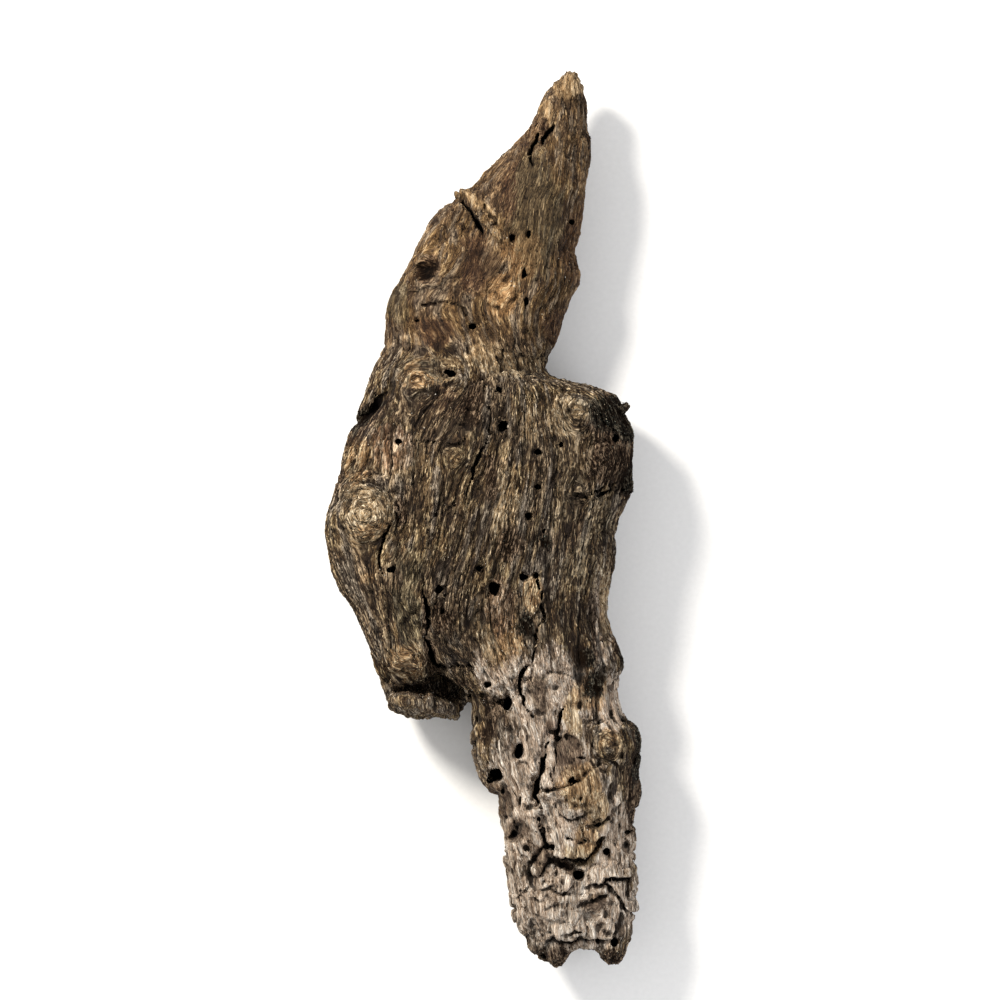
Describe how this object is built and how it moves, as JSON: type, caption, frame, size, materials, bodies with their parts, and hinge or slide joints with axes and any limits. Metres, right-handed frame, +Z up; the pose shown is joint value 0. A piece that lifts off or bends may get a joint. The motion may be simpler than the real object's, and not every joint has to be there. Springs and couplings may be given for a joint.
{
  "type": "piece of driftwood",
  "caption": "Weathered lump of driftwood with a pointed blade, a knotty trunk, a hollow broken stub and a notched foot, lying on its back.",
  "frame": {"origin": "on the resting plane, at the middle of the footprint's bounding box", "axes": "+Z up out of the front face, +Y along the length towards the pointed end, +X to the right seen from above"},
  "size_m": [0.079, 0.224, 0.0443],
  "materials": {
    "weathered_wood": "bare weathered grain, matt, grey-brown with paler knots and dark splits"
  },
  "bodies": {
    "root": {"driftwood": "weathered_wood"}
  },
  "joints": []
}
